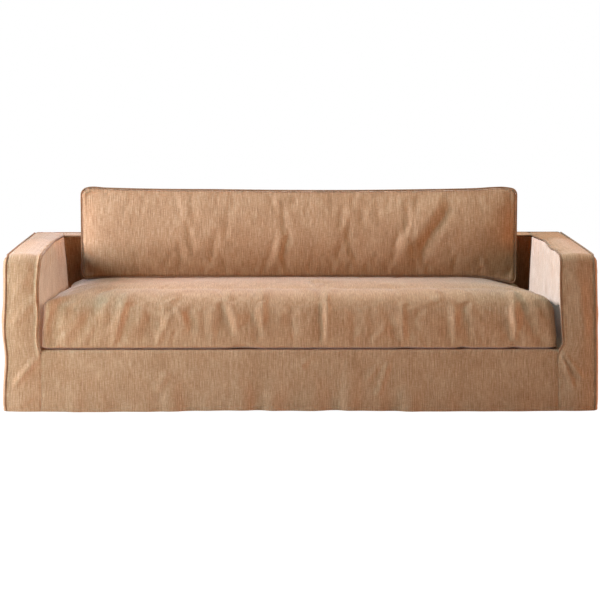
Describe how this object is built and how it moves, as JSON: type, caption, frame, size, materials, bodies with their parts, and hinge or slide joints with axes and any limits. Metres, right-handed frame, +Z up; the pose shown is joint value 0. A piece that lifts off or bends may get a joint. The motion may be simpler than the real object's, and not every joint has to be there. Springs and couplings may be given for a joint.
{
  "type": "fitted sofa slipcover with a bench seat cushion and a back cushion",
  "caption": "Fitted tan linen slipcover for a long track-arm bench sofa, hollow underneath, with its seat cushion and its piped back cushion.",
  "frame": {"origin": "floor level, in the middle of the cover's plan", "axes": "+Z up, +X along the sofa to the right of someone who looks at its front, the front faces -Y"},
  "size_m": [2.3405, 1.0238, 0.8383],
  "materials": {
    "cover_linen": "matte",
    "cushion_linen": "matte",
    "piping_linen": "matte"
  },
  "bodies": {
    "root": {"outside_arm_left": "cover_linen", "outside_arm_right": "cover_linen", "arm_band_left": "cover_linen", "arm_band_right": "cover_linen", "inside_arm_left": "cover_linen", "inside_arm_right": "cover_linen", "inside_back": "cover_linen", "back_band": "cover_linen", "outside_back": "cover_linen", "deck": "cover_linen", "front_skirt": "cover_linen", "piping_outer_left": "piping_linen", "piping_outer_right": "piping_linen", "piping_inner": "piping_linen", "piping_rear": "piping_linen", "piping_cushion_front": "piping_linen", "piping_cushion_rear": "piping_linen", "seat_cushion": "cushion_linen", "back_cushion": "cushion_linen"}
  },
  "joints": []
}
